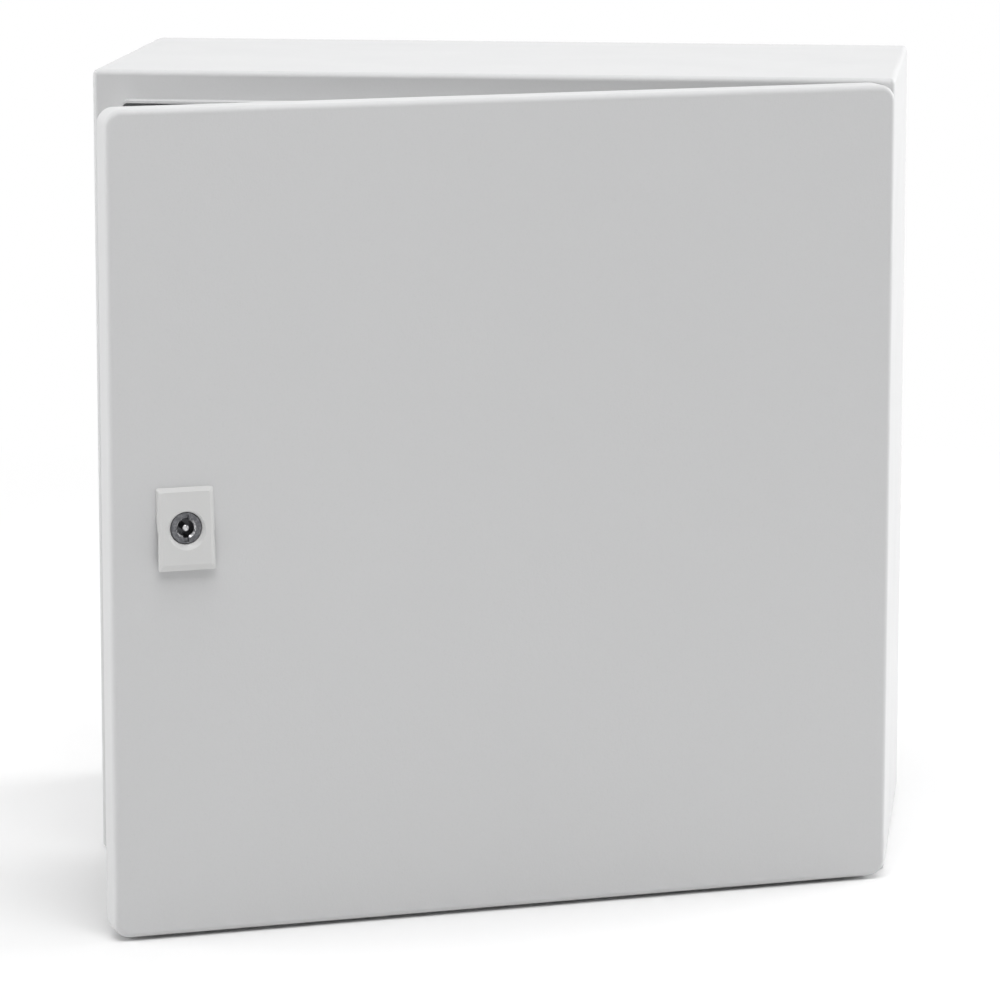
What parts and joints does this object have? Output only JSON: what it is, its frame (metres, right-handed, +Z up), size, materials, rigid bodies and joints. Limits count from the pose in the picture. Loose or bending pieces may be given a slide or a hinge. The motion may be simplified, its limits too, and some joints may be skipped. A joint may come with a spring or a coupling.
{
  "type": "steel wall enclosure",
  "caption": "Folded steel wall enclosure with a hinged, gasketed door on a quarter-turn lock, a mounting plate inside and a gland plate in the floor.",
  "frame": {"origin": "centre of the wall-fixing hole pattern, on the rear face", "axes": "+X to the right as seen from the front, +Y into the wall, +Z up; the closed door faces -Y"},
  "size_m": [0.5006, 0.452, 0.5],
  "materials": {
    "light_grey_paint": "fine textured powder coat",
    "zinc_plated_sheet": "zinc-plated, faint spangle",
    "zinc_casting": "cast zinc, satin",
    "steel_fastener": "bright zinc plating",
    "foam_seal": "foamed polyurethane with a fine skin",
    "rubber_gasket": "smooth rubber",
    "light_grey_plastic": "fine-grained moulding",
    "lock_metal": "dark zinc die-casting, worn bright at the edges"
  },
  "bodies": {
    "body": {"body_wrap": "light_grey_paint", "rear_panel": "light_grey_paint", "gland_plate": "zinc_plated_sheet", "gland_gasket": "rubber_gasket", "gland_studs": "steel_fastener", "gland_nuts": "steel_fastener", "mounting_plate": "zinc_plated_sheet", "mounting_studs": "steel_fastener", "mounting_washers": "steel_fastener", "mounting_nuts": "steel_fastener", "body_earth_stud": "steel_fastener", "body_earth_washer": "steel_fastener", "body_earth_nut": "steel_fastener", "hinge_body_leaf_upper": "zinc_casting", "hinge_body_leaf_lower": "zinc_casting", "hinge_leaf_screws": "steel_fastener", "hinge_pins": "steel_fastener", "hinge_clips": "steel_fastener"},
    "door": {"door_panel": "light_grey_paint", "door_seal": "foam_seal", "door_rail_lock_side": "zinc_plated_sheet", "door_rail_hinge_side": "zinc_plated_sheet", "hinge_door_leaf_upper": "zinc_casting", "hinge_door_leaf_lower": "zinc_casting", "hinge_door_studs": "steel_fastener", "hinge_door_nuts": "steel_fastener", "door_earth_stud": "steel_fastener", "door_earth_washer": "steel_fastener", "door_earth_nut": "steel_fastener", "lock_housing": "light_grey_plastic", "lock_gasket": "rubber_gasket", "lock_washer": "steel_fastener", "lock_nut": "steel_fastener"},
    "lock_rotor": {"lock_insert": "lock_metal", "lock_oring": "rubber_gasket", "lock_cam": "steel_fastener", "lock_cam_washer": "steel_fastener", "lock_cam_screw": "steel_fastener"}
  },
  "joints": [
    {"name": "door_hinge", "type": "hinge", "parent": "body", "child": "door", "pos_m": [0.2405, -0.23952, 0], "axis": [0, 0, 1], "range_deg": [-24.7, 105.3]},
    {"name": "lock_turn", "type": "hinge", "parent": "door", "child": "lock_rotor", "pos_m": [-0.15786, -0.43428, 0], "axis": [-0.4179, 0.9085, 0], "range_deg": [0, 90]}
  ]
}
